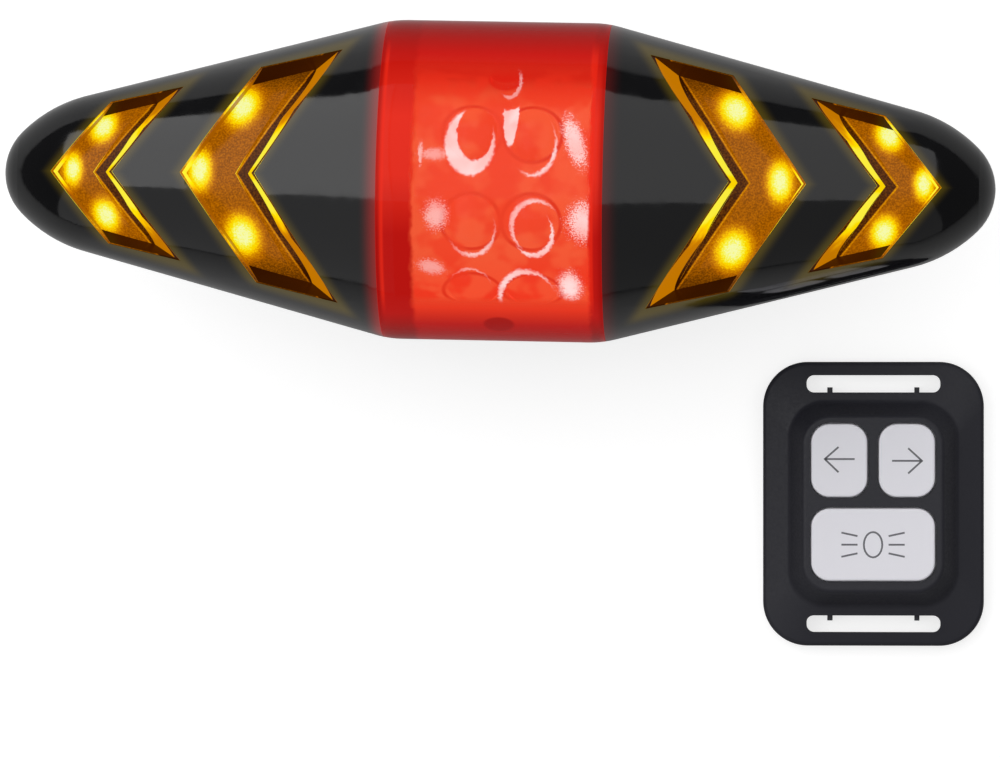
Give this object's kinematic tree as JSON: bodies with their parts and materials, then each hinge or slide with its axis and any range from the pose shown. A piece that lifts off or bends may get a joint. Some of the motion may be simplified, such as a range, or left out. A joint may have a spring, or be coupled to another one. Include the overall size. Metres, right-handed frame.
{
  "type": "bicycle tail light with remote",
  "caption": "Long rounded bicycle tail light with a red lens, chevron turn signals and a seat post bracket, with its handheld remote control.",
  "frame": {"origin": "centre of the underside of the set's box, on the surface that the set lies on", "axes": "+X along the light's long axis, +Z the way the light and the buttons face, +Y up on the bicycle"},
  "size_m": [0.17, 0.1068, 0.0599],
  "materials": {
    "black_shell": "glossy",
    "red_lens": "clear glossy",
    "red_optics": "glossy",
    "circuit_board": "matte",
    "led_red": "glossy",
    "led_amber": "glossy",
    "brass_can": "satin",
    "amber_lens": "clear glossy",
    "ribbon": "satin",
    "rubber": "matte",
    "screw_steel": "satin",
    "cell_wrap": "satin",
    "inner_plastic": "matte",
    "bracket_plastic": "satin",
    "remote_case": "satin",
    "button_grey": "satin"
  },
  "bodies": {
    "light": {"front_housing": "black_shell", "back_housing": "black_shell", "red_lens": "red_lens", "optics_plate": "red_optics", "red_led_board": "circuit_board", "red_leds": "led_red", "laser_modules": "brass_can", "amber_lens_right_inner": "amber_lens", "amber_lens_left_inner": "amber_lens", "amber_lens_right_outer": "amber_lens", "amber_lens_left_outer": "amber_lens", "amber_led_board_right": "circuit_board", "amber_led_board_left": "circuit_board", "amber_leds": "led_amber", "ribbon_right": "ribbon", "ribbon_left": "ribbon", "housing_seal": "rubber", "housing_screws": "screw_steel", "lithium_cell": "cell_wrap", "cell_cradle": "inner_plastic", "main_board": "circuit_board", "radio_module": "screw_steel", "charge_port": "screw_steel", "power_switch": "inner_plastic"},
    "bracket": {"seat_post_bracket": "bracket_plastic", "saddle_pad": "rubber"},
    "power_button": {"power_button": "rubber"},
    "port_cover": {"port_cover": "rubber"},
    "remote": {"remote_top_case": "remote_case", "remote_bottom_case": "remote_case", "key_membrane": "rubber", "remote_board": "circuit_board", "dome_switches": "screw_steel", "coin_cell": "screw_steel", "cell_contact": "screw_steel", "remote_screws": "screw_steel"},
    "left_button": {"left_button": "button_grey"},
    "right_button": {"right_button": "button_grey"},
    "light_button": {"light_button": "button_grey"},
    "battery_cover": {"battery_cover": "remote_case"}
  },
  "joints": [
    {"name": "bracket_slide", "type": "slide", "parent": "light", "child": "bracket", "axis": [0, -1, 0], "range_m": [0, 0.026]},
    {"name": "power_button_press", "type": "slide", "parent": "light", "child": "power_button", "axis": [0, -1, 0], "range_m": [0, 0.0006], "stiffness_N_per_m": 400},
    {"name": "port_cover_swing", "type": "hinge", "parent": "light", "child": "port_cover", "pos_m": [-0.012, 0.00298, 0.0252], "axis": [1, 0, 0], "range_deg": [0, 90]},
    {"name": "remote_lift", "type": "slide", "parent": "light", "child": "remote", "axis": [0, 0, 1], "range_m": [0, 0.06]},
    {"name": "left_button_press", "type": "slide", "parent": "remote", "child": "left_button", "axis": [0, 0, -1], "range_m": [0, 0.0005], "stiffness_N_per_m": 400},
    {"name": "right_button_press", "type": "slide", "parent": "remote", "child": "right_button", "axis": [0, 0, -1], "range_m": [0, 0.0005], "stiffness_N_per_m": 400},
    {"name": "light_button_press", "type": "slide", "parent": "remote", "child": "light_button", "axis": [0, 0, -1], "range_m": [0, 0.0005], "stiffness_N_per_m": 400},
    {"name": "battery_cover_turn", "type": "hinge", "parent": "remote", "child": "battery_cover", "pos_m": [0.06505, -0.02833, 0.0005], "axis": [0, 0, 1], "range_deg": [0, 40]}
  ]
}
